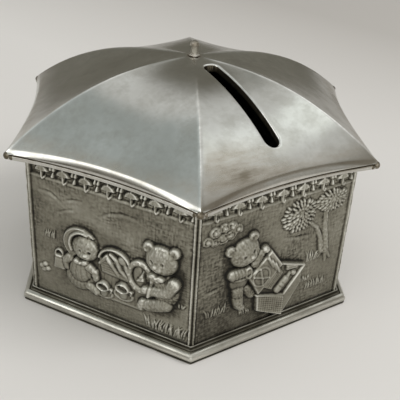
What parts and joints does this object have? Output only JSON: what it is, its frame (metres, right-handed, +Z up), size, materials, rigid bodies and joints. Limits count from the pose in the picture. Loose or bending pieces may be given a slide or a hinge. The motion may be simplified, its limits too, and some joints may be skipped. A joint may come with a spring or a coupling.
{
  "type": "tin money box",
  "caption": "Six-sided cast metal money box with relief picture walls, an umbrella-shaped roof with a coin slot, a moulded base and a push-in stopper that lets the coins out.",
  "frame": {"origin": "middle of the foot, on the surface that the box stands on", "axes": "+Z up through the ferrule; two corners lie on the X axis; the roof panel with the coin slot faces -Y"},
  "size_m": [0.1144, 0.0994, 0.0704],
  "materials": {
    "roof_metal": "cast pewter, satin polished",
    "wall_metal": "cast pewter, darkened in the hollows and rubbed bright on the relief",
    "base_metal": "cast pewter, polished",
    "stopper_plastic": "soft black plastic"
  },
  "bodies": {
    "box": {"canopy": "roof_metal", "ferrule": "roof_metal", "wall_hamper": "wall_metal", "wall_picnic": "wall_metal", "wall_kite": "wall_metal", "wall_boat": "wall_metal", "wall_swing": "wall_metal", "wall_garden": "wall_metal", "base_frame": "base_metal", "base_plate": "base_metal"},
    "stopper": {"stopper": "stopper_plastic"}
  },
  "joints": [
    {"name": "stopper_pull", "type": "slide", "parent": "box", "child": "stopper", "axis": [0, 0, -1], "range_m": [0, 0.03]}
  ]
}
